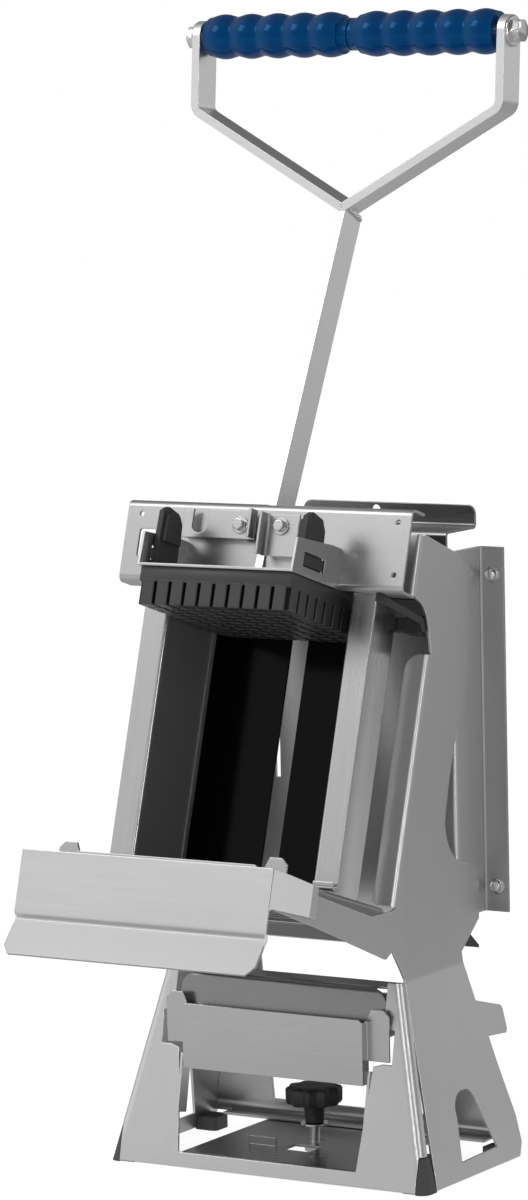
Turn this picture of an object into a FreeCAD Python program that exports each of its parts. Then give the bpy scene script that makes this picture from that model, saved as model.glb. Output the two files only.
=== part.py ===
import FreeCAD, Part
import math
import os
from FreeCAD import Vector

os.makedirs("parts", exist_ok=True)

# A lever-pushed french fry cutter in folded sheet steel, in millimetres.
# +X is the operator's right, +Y goes back to the wall, +Z is up.
# The origin lies under the middle of the base, on the plane the four feet stand on.

# Driving dimensions: sheet, posture and the cut
SHEET = 1.5
BEND = 1.5
LEAN = 17.6
CHUTE_Y = -50.0
CHUTE_Z = 319.6
CUT = 9.525
PEG_COUNT = 10
GRID_EDGE = 2.1
BLADE_THICK = 0.6
SLOT_WIDTH = 1.9
SLIDE_GAP = 0.5

# Base
BASE_HALF_FOOT = 105.5
SIDE_HALF = 78.5
WAIST_Z = 115.0
FOOT_LIFT = 0.8
PANEL_FOOT_Y = -55.0
PANEL_TOP_Y = -31.5
PANEL_HEIGHT = 112.0
CORNER_RADIUS = 6.0
HOOD_TOP = 110.0
HOOD_END_GAP = 0.8217
RELIEF_X = 98.0
FLOOR_Z = 9.0
FLOOR_HALF = 59.0
REAR_FOOT_Y = 57.0
REAR_TOP_Y = 38.0
REAR_WINDOW_HALF = 60.0
DOOR_PIN_R = 2.4
DOOR_PIN_S = 155.5
DOOR_PIN_T = 71.5
RUN_GAP = 0.05

# Wall channel and hanger
WALL_Y = 72.0
CHANNEL_WEB_Y = 38.0
CHANNEL_BOTTOM = 139.5
CHANNEL_TOP = 351.0
WALL_FLANGE = 15.0
SCREW_SPACING_X = 170.0
SCREW_BOTTOM_Z = 154.3
SCREW_TOP_Z = 335.0
SCREW_HOLE_R = 4.5
SHELF_Z = 361.0
HANGER_TOP = 374.5

# Feed chute, in its own leaning frame: t forward of its front flanges, s down its length
CHUTE_HALF = 59.0
CHUTE_DEPTH = 50.0
CHUTE_TOP_S = -22.0
DECK_S = 151.5
FLANGE_WIDTH = 16.0
FLANGE_END_S = 150.0
REAR_SLOT = 11.0
RAIL_T = -60.0
RAIL_TOP_S = 5.5
RAIL_BOTTOM_S = 149.5
RAIL_WIDTH = 14.5

# Carriage
YOKE_HALF = 93.0
YOKE_T = 4.0
YOKE_TOP_S = -65.0
YOKE_HEIGHT = 48.0
YOKE_DEPTH = 14.0
TRAY_S = -17.9
PUSHER_HEIGHT = 21.5
PUSHER_T = 50.0
PEG_LENGTH = 13.0
GUSSET_HALF = 50.5
LINK_X = (75.4, 76.6)
BRACKET_T = 8.0

# Lever and handle
BAR_THICK = 5.0
BAR_DEPTH = 19.0
LEVER_FOOT = (-40.5, 341.0)
LEVER_HEAD = (61.5, 541.0)
FORK_HALF = 98.5
FORK_BEND = (68.3, 597.0)
GRIP_Y = 70.5
GRIP_Z = 644.0
GRIP_LENGTH = 89.0
GRIP_RIDGE_R = 13.2
GRIP_VALLEY_R = 11.0
GRIP_NECK_R = 9.4
GRIP_RIDGES = 5
ROD_R = 4.0

# Blade cartridge, in its own frame: d back from the face plate, h up from its lower edge
CART_FACE_HALF = 59.5
CART_FACE_HEIGHT = 37.6
CART_EAR_HALF = 73.6
CART_STEP = 6.0
BLADE_HEIGHT = 5.0
GRID_TOP_H = 30.0
CART_WALL = 2.0
DECK_GAP = 0.2
SPARE_Y = -44.5
SPARE_Z = 56.6

# Clamp screw in the base
CLAMP_Y = 1.6
STUD_R = 3.1
KNOB_BORE_R = 3.17
KNOB_Z = 32.0
KNOB_R = 16.6
KNOB_LOBES = 10
KNOB_HEIGHT = 11.0

# Sizes that follow from the ones above
SINE = math.sin(math.radians(LEAN))
COSINE = math.cos(math.radians(LEAN))
GRID_HALF = CUT * PEG_COUNT / 2 + GRID_EDGE
PUSHER_HALF = min(GRID_HALF, CHUTE_HALF) - SLIDE_GAP
PUSHER_MID_T = PUSHER_T - PUSHER_HALF
GRID_TOP_S = DECK_S + SHEET + DECK_GAP
GRID_BOTTOM_S = GRID_TOP_S + 2 * BLADE_HEIGHT
TRAVEL = GRID_BOTTOM_S - (TRAY_S + PUSHER_HEIGHT) - 0.5
SIDE_IN = SIDE_HALF - SHEET
FLARE = (BASE_HALF_FOOT - SIDE_HALF) / WAIST_Z


def vec(x, y, z):
    return Vector(x, y, z)


def box(x0, x1, y0, y1, z0, z1):
    return Part.makeBox(x1 - x0, y1 - y0, z1 - z0, vec(x0, y0, z0))


def edges_of(points):
    """Lines through the points; a point written (a, b, "via") is the middle of an arc."""
    edges = []
    count = len(points)
    i = 0
    while i < count:
        start = points[i]
        after = points[(i + 1) % count]
        if len(after) == 3 and after[2] == "via":
            end = points[(i + 2) % count]
            edges.append(("arc", start[:2], after[:2], end[:2]))
            i += 2
        else:
            edges.append(("line", start[:2], after[:2]))
            i += 1
    return edges


def flat(points, axis, at):
    """A face from an outline, drawn in the plane that axis is square to."""
    def lift(p):
        if axis == "x":
            return vec(at, p[0], p[1])
        if axis == "y":
            return vec(p[0], at, p[1])
        return vec(p[0], p[1], at)
    edges = []
    for edge in edges_of(points):
        if edge[0] == "arc":
            edges.append(Part.Arc(lift(edge[1]), lift(edge[2]), lift(edge[3])).toShape())
        else:
            edges.append(Part.LineSegment(lift(edge[1]), lift(edge[2])).toShape())
    return Part.Face(Part.Wire(edges))


def prism(points, axis, low, high):
    """An outline pushed through from low to high along an axis."""
    move = {"x": vec(high - low, 0, 0), "y": vec(0, high - low, 0), "z": vec(0, 0, high - low)}
    return flat(points, axis, low).extrude(move[axis])


def rounded(a0, a1, b0, b1, r):
    """A rectangle with rounded corners, as an outline for prism."""
    k = r * (1 - math.sqrt(0.5))
    return [(a0 + r, b0), (a1 - r, b0), (a1 - k, b0 + k, "via"), (a1, b0 + r),
            (a1, b1 - r), (a1 - k, b1 - k, "via"), (a1 - r, b1),
            (a0 + r, b1), (a0 + k, b1 - k, "via"), (a0, b1 - r),
            (a0, b0 + r), (a0 + k, b0 + k, "via")]


def folded(path, axis, low, high, thick=SHEET, radius=BEND):
    """Sheet folded along a path of (a, b) points, thickened to the left, then extruded."""
    runs = []
    for p, q in zip(path, path[1:]):
        length = math.hypot(q[0] - p[0], q[1] - p[1])
        runs.append(((q[0] - p[0]) / length, (q[1] - p[1]) / length))
    near = [path[0]]
    far = [(path[0][0] - runs[0][1] * thick, path[0][1] + runs[0][0] * thick)]
    for i in range(1, len(path) - 1):
        a, b = runs[i - 1], runs[i]
        turn = math.atan2(a[0] * b[1] - a[1] * b[0], a[0] * b[0] + a[1] * b[1])
        half = math.tan(turn / 2)
        corner = path[i]
        across = (corner[0] - a[1] * thick - a[0] * thick * half,
                  corner[1] + a[0] * thick - a[1] * thick * half)
        near_r = radius + thick if turn > 0 else radius
        far_r = radius if turn > 0 else radius + thick
        near += corner_arc(corner, a, b, turn, near_r)
        far += corner_arc(across, a, b, turn, far_r)
    near.append(path[-1])
    last = runs[-1]
    far.append((path[-1][0] - last[1] * thick, path[-1][1] + last[0] * thick))
    return prism(near + list(reversed(far)), axis, low, high)


def corner_arc(corner, a, b, turn, r):
    """The two tangent points of a rounded corner, and the middle of its arc between them."""
    reach = r * abs(math.tan(turn / 2))
    start = (corner[0] - a[0] * reach, corner[1] - a[1] * reach)
    end = (corner[0] + b[0] * reach, corner[1] + b[1] * reach)
    side = 1 if turn > 0 else -1
    centre = (start[0] - a[1] * r * side, start[1] + a[0] * r * side)
    mid = ((start[0] + end[0]) / 2 - centre[0], (start[1] + end[1]) / 2 - centre[1])
    size = math.hypot(*mid)
    return [start, (centre[0] + mid[0] * r / size, centre[1] + mid[1] * r / size, "via"), end]


def lean(shape):
    """Tip a shape from the chute's upright frame (x, back, up) into the machine."""
    moved = shape.copy()
    moved.rotate(vec(0, 0, 0), vec(1, 0, 0), -LEAN)
    moved.translate(vec(0, CHUTE_Y, CHUTE_Z))
    return moved


def chute_point(s, t):
    """The machine's (y, z) of a point s down the chute and t forward of its flanges."""
    return (CHUTE_Y - s * SINE - t * COSINE, CHUTE_Z - s * COSINE + t * SINE)


def chute_box(x0, x1, t0, t1, s0, s1):
    """A box in the leaning frame, from t0 back to t1 forward and s0 top to s1 bottom."""
    return lean(box(x0, x1, -t1, -t0, -s1, -s0))


def cylinder(r, length, start, axis):
    return Part.makeCylinder(r, length, start, axis)


def mirror(shape):
    return shape.mirror(vec(0, 0, 0), vec(1, 0, 0))


def sided(shape, side):
    """The right-hand shape, or its mirror image for the left."""
    return shape if side > 0 else mirror(shape)


def join(shapes):
    return shapes[0].fuse(shapes[1:]).removeSplitter()


def save(name, shape):
    shape.exportStep("parts/" + name + ".step")


def flare_half(z):
    """Outer half width of the side plates at height z: flared below the waist."""
    return SIDE_HALF + max(0.0, WAIST_Z - z) * FLARE


def side_outline():
    """The side plate's profile in (y, z), from its upper front corner down the front edge."""
    return [chute_point(-59, -38), chute_point(-22, -38),
            chute_point(-19.5, -47) + ("via",), chute_point(-12, -55),
            chute_point(-5, -59) + ("via",), chute_point(5, -63.5),
            chute_point(RAIL_BOTTOM_S, -63.5), chute_point(152, -59),
            chute_point(158.5, -37), chute_point(156, 27), chute_point(151, 60),
            chute_point(150.5, 75), chute_point(152, 76.5), chute_point(170, 74),
            chute_point(173, 24), chute_point(179.3, -59), chute_point(173.6, -65),
            (-27.1, 116.0), (-42.0, FOOT_LIFT), (55.4, FOOT_LIFT), (60.6, 8.3), (60.3, 23.5),
            (52.5, 56.3), (49.7, 70.5), (WALL_Y - 3, 69.0), (WALL_Y - 0.9, 69.9, "via"),
            (WALL_Y, 72.0), (WALL_Y, 82.0), (WALL_Y - 1.2, 84.4, "via"), (WALL_Y - 4, 85.6),
            (44.1, 92.0), (38.5, 121.0), (59.5, 137.0), (59.5, 166.0), (47.0, 171.0),
            (28.5, 180.0, "via"), (21.5, 199.0), (27.5, 222.0, "via"), (45.0, 266.0),
            (53.0, 288.0, "via"), (55.0, 306.0), (54.5, 342.0), (45.0, 346.0), (40.0, 350.5),
            (20.0, 358.0)]


def arch_outline():
    """The arched window through each side plate's flared foot, in (y, z)."""
    return [(-9.2, 9.8), (33.3, 10.6), (20.5, 40.0), (16.0, 46.0, "via"), (9.0, 47.5),
            (-1.0, 44.5, "via"), (-4.2, 34.0)]


def side_plate():
    """One side plate: flat above the waist, flared below it, with its two front flanges."""
    strip = folded([(flare_half(-5), -5), (SIDE_HALF, WAIST_Z), (SIDE_HALF, 400)], "y", -200, 100,
                   SHEET, 12.0)
    plate = strip.common(prism(side_outline(), "x", 40, 130))
    plate = plate.cut(prism(arch_outline(), "x", 85, 120))
    plate = plate.cut(lean(cylinder(DOOR_PIN_R + RUN_GAP, 10, vec(SIDE_IN - 3, -DOOR_PIN_T, -DOOR_PIN_S),
                                    vec(1, 0, 0))))
    rail_edge = SIDE_HALF - RAIL_WIDTH
    beyond = rail_edge - 4
    rail = folded([(rail_edge, -RAIL_T), (SIDE_HALF, -RAIL_T), (SIDE_HALF, 8 - RAIL_T)],
                  "z", -RAIL_BOTTOM_S, -RAIL_TOP_S)
    rail = rail.cut(prism([(beyond, -RAIL_BOTTOM_S - 1), (beyond, -RAIL_BOTTOM_S + 5),
                           (rail_edge + 5, -RAIL_BOTTOM_S - 1)], "y", 50, 70))
    rail = rail.cut(prism([(beyond, -RAIL_TOP_S + 1), (beyond, -RAIL_TOP_S - 9),
                           (rail_edge, -RAIL_TOP_S - 9), (rail_edge + 3, -RAIL_TOP_S - 3, "via"),
                           (rail_edge + 9, -RAIL_TOP_S), (rail_edge + 9, -RAIL_TOP_S + 1)],
                          "y", 50, 70))
    brow = folded([(rail_edge, 34), (SIDE_HALF, 34), (SIDE_HALF, 42)], "z", 23, 58)
    plate = join([plate, lean(rail), lean(brow)])
    # The standoff's foot turns inward and lies against the wall
    half = flare_half(77)
    foot = box(half - 13, half - 1.0, WALL_Y - SHEET, WALL_Y, 72.5, 81.5)
    return join([plate, foot])


def base_shell(inset, radius):
    """The base's tapered block, inset all round, with its two front corners rounded."""
    low, high = -6.0, PANEL_HEIGHT + 4.0
    slope = (PANEL_TOP_Y - PANEL_FOOT_Y) / PANEL_HEIGHT
    wires = []
    for z in (low, high):
        half = flare_half(z) - inset if z < WAIST_Z else SIDE_HALF - (z - WAIST_Z) * FLARE - inset
        front = PANEL_FOOT_Y + slope * z + inset
        wires.append(Part.makePolygon([vec(-half, front, z), vec(half, front, z), vec(half, 70, z),
                                       vec(-half, 70, z), vec(-half, front, z)]))
    solid = Part.makeLoft(wires, True, True)
    corners = []
    for edge in solid.Edges:
        middle = edge.CenterOfMass
        if abs(middle.x) > 60 and middle.y < -20 and low + 5 < middle.z < high - 5:
            corners.append(edge)
    return solid.makeFillet(radius, corners)


def front_panel():
    """The front legs and bottom rail: one sheet round the base's front corners."""
    shell = base_shell(0.0, CORNER_RADIUS).cut(base_shell(SHEET, CORNER_RADIUS - SHEET))
    slope = (PANEL_TOP_Y - PANEL_FOOT_Y) / PANEL_HEIGHT
    keep = prism([(PANEL_FOOT_Y - 5, FOOT_LIFT), (PANEL_FOOT_Y + CORNER_RADIUS + 7, FOOT_LIFT),
                  (PANEL_TOP_Y + CORNER_RADIUS - 2, PANEL_HEIGHT + 2.0),
                  (PANEL_TOP_Y - 5, PANEL_HEIGHT + 2.0)], "x", -120, 120)
    keep = keep.cut(prism([(PANEL_FOOT_Y + CORNER_RADIUS, -1), (PANEL_FOOT_Y + 40, -1),
                           (PANEL_TOP_Y + 40, PANEL_HEIGHT + 3),
                           (PANEL_TOP_Y + CORNER_RADIUS, PANEL_HEIGHT + 3)], "x", -120, 120))
    panel = shell.common(keep)
    window = [(-FLOOR_HALF, FLOOR_Z), (FLOOR_HALF, FLOOR_Z), (64.5, 67.5), (70.0, 69.0),
              (76.5, 69.0), (76.5, 88.0), (69.5, 90.5), (69.5, 130), (-69.5, 130), (-69.5, 90.5),
              (-76.5, 88.0), (-76.5, 69.0), (-70.0, 69.0), (-64.5, 67.5)]
    panel = panel.cut(prism(window, "y", -80, 0))
    relief = box(RELIEF_X, 120, -70, -30, -5, 20.5)
    panel = panel.cut(relief).cut(mirror(relief))
    # The inner edge of each leg is turned back, and stiffens the leg
    front = PANEL_FOOT_Y + slope * 48
    turned = folded([(62.8, front), (62.8, front + 9)], "z", -17, 17)
    turned.rotate(vec(0, front, 0), vec(1, 0, 0), -math.degrees(math.atan(slope)))
    turned.translate(vec(0, 0, 48))
    return join([panel, turned, mirror(turned)])


def floor_plate():
    """The floor: the front window's flap, folded back, notched for the clamp screw."""
    sheet = box(-FLOOR_HALF + 1, FLOOR_HALF - 1, PANEL_FOOT_Y + 5.2, REAR_FOOT_Y - 2.6,
                FLOOR_Z - SHEET, FLOOR_Z)
    notch = prism([(-9, CLAMP_Y - 22), (9, CLAMP_Y - 22), (9, CLAMP_Y + 2), (0, CLAMP_Y + 11, "via"),
                   (-9, CLAMP_Y + 2)], "z", 0, 20)
    bridge = box(-20, 20, CLAMP_Y - 7, CLAMP_Y + 7, FLOOR_Z - SHEET, FLOOR_Z)
    flap = box(-34, -16, -16, -14.5, FLOOR_Z - 0.1, FLOOR_Z + 5)
    sheet = sheet.cut(notch).fuse(bridge).cut(cylinder(STUD_R, 30, vec(0, CLAMP_Y, 0), vec(0, 0, 1)))
    lip = box(-FLOOR_HALF + 1, FLOOR_HALF - 1, PANEL_FOOT_Y + 3.9, PANEL_FOOT_Y + 5.3,
              2.0, FLOOR_Z - 0.2)
    return join([sheet, flap, lip])


def rear_panel():
    """The rear legs and bottom rail, a plain sheet leaning in under the wall channel."""
    foot, top = REAR_FOOT_Y, REAR_TOP_Y
    rise = WAIST_Z - FOOT_LIFT
    flange = FLOOR_Z + SHEET + 0.3
    strip = folded([(top, WAIST_Z - 4), (foot, flange), (foot - 14, flange)], "x", -104, 104, SHEET, 4.0)
    sides = prism([(-flare_half(0) + SHEET + 0.2, 0), (flare_half(0) - SHEET - 0.2, 0),
                   (SIDE_IN - 0.2, rise), (-SIDE_IN + 0.2, rise)], "y", 0, 80)
    window = prism([(-REAR_WINDOW_HALF, 19), (REAR_WINDOW_HALF, 19), (REAR_WINDOW_HALF - 4, 130),
                    (4 - REAR_WINDOW_HALF, 130)], "y", 0, 80)
    corner = box(88, 120, 20, foot - 3.5, -1, 24)
    return strip.common(sides).cut(window).cut(corner).cut(mirror(corner))


def front_foot():
    """A rubber foot that fills the right front corner's relief and stands behind the sheet."""
    high = FOOT_LIFT + 18.8
    outer = base_shell(0.15, CORNER_RADIUS).common(
        box(RELIEF_X + 0.3, 120, -60, PANEL_FOOT_Y + CORNER_RADIUS + 6.5, 0, high))
    inner = base_shell(SHEET + 0.3, CORNER_RADIUS - SHEET).common(
        box(RELIEF_X - 9, 120, -60, PANEL_FOOT_Y + CORNER_RADIUS + 14, 0, high))
    return join([outer, inner])


def rear_foot():
    """A plain rubber foot inside the right rear corner."""
    shell = base_shell(SHEET + 0.3, CORNER_RADIUS - SHEET)
    return shell.common(prism(rounded(89.5, 118, REAR_FOOT_Y - 20, REAR_FOOT_Y - 4.5, 3.0), "z",
                              0, FLOOR_Z - 1.0))


def rear_channel():
    """The wall channel: a hat section that closes the back and bolts to the wall."""
    edge = SIDE_IN + WALL_FLANGE
    path = [(-edge, WALL_Y - SHEET), (-SIDE_IN, WALL_Y - SHEET), (-SIDE_IN, CHANNEL_WEB_Y),
            (SIDE_IN, CHANNEL_WEB_Y), (SIDE_IN, WALL_Y - SHEET), (edge, WALL_Y - SHEET)]
    hat = folded(path, "z", CHANNEL_BOTTOM, CHANNEL_TOP)
    for z in (SCREW_BOTTOM_Z, SCREW_TOP_Z):
        for x in (-SCREW_SPACING_X / 2, SCREW_SPACING_X / 2):
            hat = hat.cut(cylinder(SCREW_HOLE_R, 10, vec(x, WALL_Y - 5, z), vec(0, 1, 0)))
    slot = box(40, 43, CHANNEL_WEB_Y - 5, CHANNEL_WEB_Y + 5, 215, 245)
    return hat.cut(slot).cut(mirror(slot))


def hanger_plate():
    """The hanger: bolted inside the channel's head, out over it as a shelf, up to the wall."""
    strip = folded([(CHANNEL_WEB_Y, 322), (CHANNEL_WEB_Y, SHELF_Z), (WALL_Y, SHELF_Z),
                    (WALL_Y, HANGER_TOP)], "x", -74, 74)
    trim = prism([(-80, SHELF_Z + 4), (-40, SHELF_Z + 4), (-40, HANGER_TOP - 5),
                  (-38.5, HANGER_TOP - 1.5, "via"), (-35, HANGER_TOP), (-35, 390), (-80, 390)],
                 "y", 60, 80)
    trim_right = prism([(80, HANGER_TOP - 5), (74, HANGER_TOP - 5), (72.5, HANGER_TOP - 1.5, "via"),
                        (69, HANGER_TOP), (69, 390), (80, 390)], "y", 60, 80)
    slot = prism(rounded(1.5, 16, SHELF_Z + 5.5, SHELF_Z + 9.5, 1.9), "y", 60, 80)
    head = cylinder(3.0, 10, vec(8.7, WALL_Y - 5, SHELF_Z + 9), vec(0, 1, 0))
    return strip.cut(trim).cut(trim_right).cut(slot).cut(head)


def rear_apron():
    """A plain strip across the back, under the wall channel, that sheds juice from the wall."""
    strip = folded([(62.0, 120.5), (47.0, 132.5), (44.0, 132.5)], "x", -100, 100, SHEET, 2.0)
    wide = flare_half(0) - SHEET
    return strip.common(prism([(-wide, 0), (wide, 0), (SIDE_IN, WAIST_Z), (SIDE_IN, 200),
                               (-SIDE_IN, 200), (-SIDE_IN, WAIST_Z)], "y", 20, 80))


def feed_chute():
    """The chute: a hat section open to the front, slotted down the back for the carriage."""
    edge = CHUTE_HALF + FLANGE_WIDTH
    path = [(-edge, 0), (-CHUTE_HALF, 0), (-CHUTE_HALF, CHUTE_DEPTH), (CHUTE_HALF, CHUTE_DEPTH),
            (CHUTE_HALF, 0), (edge, 0)]
    hat = folded(path, "z", -DECK_S, -CHUTE_TOP_S, SHEET, 1.0)
    slot = box(-REAR_SLOT / 2, REAR_SLOT / 2, CHUTE_DEPTH - 5, CHUTE_DEPTH + 5, -DECK_S + 2.9, 60)
    hat = hat.cut(slot)
    for side in (-1, 1):
        a, b = sorted((side * (CHUTE_HALF + 3), side * (edge + 1)))
        hat = hat.cut(box(a, b, -3, SHEET + 0.6, -DECK_S - 1, -FLANGE_END_S))
        r = 9.0
        k = r * (1 - math.sqrt(0.5))
        top = -CHUTE_TOP_S
        corner = [(side * (edge - r), top + 1), (side * (edge - r), top),
                  (side * (edge - k), top - k, "via"), (side * edge, top - r),
                  (side * (edge + 1), top - r), (side * (edge + 1), top + 1)]
        hat = hat.cut(prism(corner, "y", -3, 4))
    # A small hooked stop closes the foot of each front flange
    end = -FLANGE_END_S
    hook = folded([(-4.5, end + 4.5), (-4.5, end), (SHEET, end), (SHEET, end + 4)], "x",
                  CHUTE_HALF + 3, edge, SHEET, 0.8)
    return lean(join([hat, hook, mirror(hook)]))


def blade_deck():
    """The deck between the arms that the chute stands on, open over the blade grid."""
    outer = SIDE_IN
    path = [(-outer, -DECK_S - 17), (-outer, -DECK_S), (outer, -DECK_S), (outer, -DECK_S - 17)]
    path = list(reversed(path))
    deck = folded(path, "y", -73, CHUTE_DEPTH + SHEET)
    opening = box(-GRID_HALF - 0.6, GRID_HALF + 0.6, -PUSHER_T - 1.6, -PUSHER_MID_T + GRID_HALF + 0.6,
                  -DECK_S - 10, -DECK_S + 5)
    front = box(2.6 - SIDE_IN, SIDE_IN - 2.6, -80, -PUSHER_T - 1.5, -DECK_S - 10, -DECK_S + 5)
    tip = box(SIDE_IN - 7, SIDE_IN + 13, -80, -DOOR_PIN_T + DOOR_PIN_R + 2.5, -DECK_S - 30,
              -DECK_S - SHEET)
    return lean(deck.cut(opening).cut(front).cut(tip).cut(mirror(tip)))


def chute_brace():
    """A folded cross-member behind the deck that ties the side plates together."""
    top = DECK_S + 8.6
    path = [(CHUTE_DEPTH + 2.2, -top - 12), (CHUTE_DEPTH + 2.2, -top), (CHUTE_DEPTH + 24, -top),
            (CHUTE_DEPTH + 24, -top - 10)]
    return lean(folded(list(reversed(path)), "x", -SIDE_IN, SIDE_IN))


def storage_hood():
    """The cross-member over the stored cartridge, leaning back under a turned-over top."""
    path = [(-32.0, 90.5), (-28.5, 109.0), (-16.0, HOOD_TOP)]
    # The ends clear the side plates least along the turned-over top's upper face
    half = flare_half(HOOD_TOP + SHEET) - SHEET - HOOD_END_GAP
    hood = folded(path, "x", -half, half, SHEET, 2.5)
    end = prism([(68.5, 80), (68.5, 100), (66.2, 106, "via"), (60, 109), (60, 130),
                 (half + 2, 130), (half + 2, 80)], "y", -40, -26.0)
    return hood.cut(end).cut(mirror(end))


def cartridge_frame():
    """A pan-shaped face with a hanging ear on each side, and the four walls round the grid."""
    top = CART_FACE_HEIGHT
    face = prism([(-CART_FACE_HALF, 0), (CART_FACE_HALF, 0), (CART_FACE_HALF, top - 2),
                  (CART_FACE_HALF - 2, top), (2 - CART_FACE_HALF, top), (-CART_FACE_HALF, top - 2)],
                 "y", 0, SHEET)
    wall = box(CART_FACE_HALF - SHEET, CART_FACE_HALF, 0, CART_STEP + SHEET, 0, top - 2)
    ear = prism([(CART_FACE_HALF - SHEET, 13.4), (CART_EAR_HALF, 13.4), (CART_EAR_HALF, 39.5),
                 (CART_EAR_HALF - 3.5, 43.0), (CART_FACE_HALF + 3, 43.0), (CART_FACE_HALF, 36),
                 (CART_FACE_HALF - SHEET, 36)], "y", CART_STEP, CART_STEP + SHEET)
    web = box(-CART_FACE_HALF, CART_FACE_HALF, CART_STEP, CART_STEP + SHEET, 16, 34)
    spacer = join([wall, mirror(wall), ear, mirror(ear), web])
    start = CART_STEP + SHEET
    depth = 2 * GRID_HALF + 2 * CART_WALL
    half = GRID_HALF + CART_WALL
    low = GRID_TOP_H - 2 * BLADE_HEIGHT - 1.0
    ring = box(-half, half, start, start + depth, low, GRID_TOP_H)
    ring = ring.cut(box(-GRID_HALF, GRID_HALF, start + CART_WALL, start + CART_WALL + 2 * GRID_HALF,
                        low - 1, GRID_TOP_H + 1))
    return join([face, spacer, ring])


def cartridge_blades():
    """Two crossed courses of blades, one above the other, each ending in the grid's walls."""
    start = CART_STEP + SHEET + CART_WALL
    courses = []
    for course in (0, 1):
        high = GRID_TOP_H - course * BLADE_HEIGHT
        strips = []
        for i in range(1, PEG_COUNT):
            at = GRID_EDGE + i * CUT - BLADE_THICK / 2
            if course == 0:
                strips.append(box(at - GRID_HALF, at - GRID_HALF + BLADE_THICK, start,
                                  start + 2 * GRID_HALF, high - BLADE_HEIGHT, high))
            else:
                strips.append(box(-GRID_HALF, GRID_HALF, start + at, start + at + BLADE_THICK,
                                  high - BLADE_HEIGHT, high))
        courses.append(Part.makeCompound(strips))
    return courses


def seat_main(shape):
    """Put a cartridge shape under the deck, its grid in line with the pusher's pegs."""
    moved = shape.copy()
    front = PUSHER_MID_T + GRID_HALF + CART_WALL + CART_STEP + SHEET
    moved.translate(vec(0, -front, -GRID_TOP_S - GRID_TOP_H))
    return lean(moved)


def seat_spare(shape):
    """Put a cartridge shape in the base, level, with its ears in the front legs' notches."""
    moved = shape.copy()
    moved.translate(vec(0, SPARE_Y, SPARE_Z))
    return moved


def door_panel():
    """The blade door: face, stepped lip to lift it by, and two tabs outside the arms."""
    half = SIDE_HALF + 0.8
    path = [(-79.5, -149.0), (-78.8, -184.5), (-76.3, -187.0), (-86.5, -208.0)]
    face = folded(path, "x", -half - SHEET, half + SHEET, SHEET, 1.0)
    trim = prism([(-half - 5, -189), (-half - SHEET, -189), (-half - SHEET, -203),
                  (-half + 3.5, -209), (-half + 3.5, -215), (-half - 5, -215)], "y", -100, -60)
    face = face.cut(trim).cut(mirror(trim))
    tab_out = [(-79.0, -149.2), (-60, -149.8), (-29, -151.5), (-27.5, -169.0), (-74, -170.5),
               (-78.6, -172.0)]
    tab = prism(tab_out, "x", half, half + SHEET)
    pin = cylinder(DOOR_PIN_R, 3.0, vec(SIDE_IN, -DOOR_PIN_T, -DOOR_PIN_S), vec(1, 0, 0))
    return lean(join([face, tab, mirror(tab), pin, mirror(pin)]))


def yoke():
    """The carriage's channel: spans the chute's front, slotted over its flanges."""
    s0, s1 = YOKE_TOP_S, YOKE_TOP_S + YOKE_HEIGHT
    back = YOKE_DEPTH - YOKE_T
    path = [(back, -s0), (-YOKE_T, -s0), (-YOKE_T, -s1), (back, -s1)]
    channel = folded(list(path), "x", -YOKE_HALF, YOKE_HALF, SHEET, 2.5)
    middle = GUSSET_HALF + 1.0
    channel = channel.cut(box(-middle, middle, -20, 20, -s1 - 5, -TRAY_S + SHEET))
    beside = BAR_THICK / 2 + 0.3
    channel = channel.cut(box(-beside, beside, -20, 20, 0, 57.5))
    channel = channel.cut(box(-beside, beside, -YOKE_T + SHEET + 0.6, 20, 0, 80))
    channel = channel.cut(prism(rounded(-83.4, -72.6, 31.5, 48.0, 1.5), "y", -10, 4 - YOKE_T))
    for x, z in ((-83.4, 56.6), (84.8, 56.8), (86.4, 27.0)):
        channel = channel.cut(cylinder(1.5, 8, vec(x, -10, z), vec(0, 1, 0)))
    for side in (-1, 1):
        a, b = sorted((side * (CHUTE_HALF - SLIDE_GAP), side * (CHUTE_HALF + SHEET + 1.2)))
        channel = channel.cut(box(a, b, -SLIDE_GAP, 20, -s1 - 5, -s0 + 5))
        a, b = sorted((side * (CHUTE_HALF - SLIDE_GAP), side * (CHUTE_HALF + FLANGE_WIDTH + 0.6)))
        channel = channel.cut(box(a, b, -SLIDE_GAP, SHEET + SLIDE_GAP, -s1 - 5, -s0 + 5))
    return lean(channel)


def link(side):
    """A strap from the yoke's end back past the chute to the guide bar."""
    low, high = LINK_X
    top = -YOKE_TOP_S - YOKE_HEIGHT - 0.2
    strap = prism([(-1.5, top), (9, top), (57.5, 13.5), (57.5, 6.0), (53, 6.0), (50, 10.0),
                   (8, top - 4.0), (-1.5, top - 4.0)], "x", low, high)
    return lean(sided(strap, side))


def guide_bar():
    """The black plastic bar behind the chute, with a block at each end that rides the rails."""
    bar = box(-72, 72, CHUTE_DEPTH + SHEET + 0.5, -RAIL_T - 0.4, 6.0, 13.5)
    block = box(66, LINK_X[0] - 0.3, CHUTE_DEPTH + SHEET + 0.2, -RAIL_T - 0.4, 4.5, 15.5)
    return lean(join([bar, block, mirror(block)]))


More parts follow.
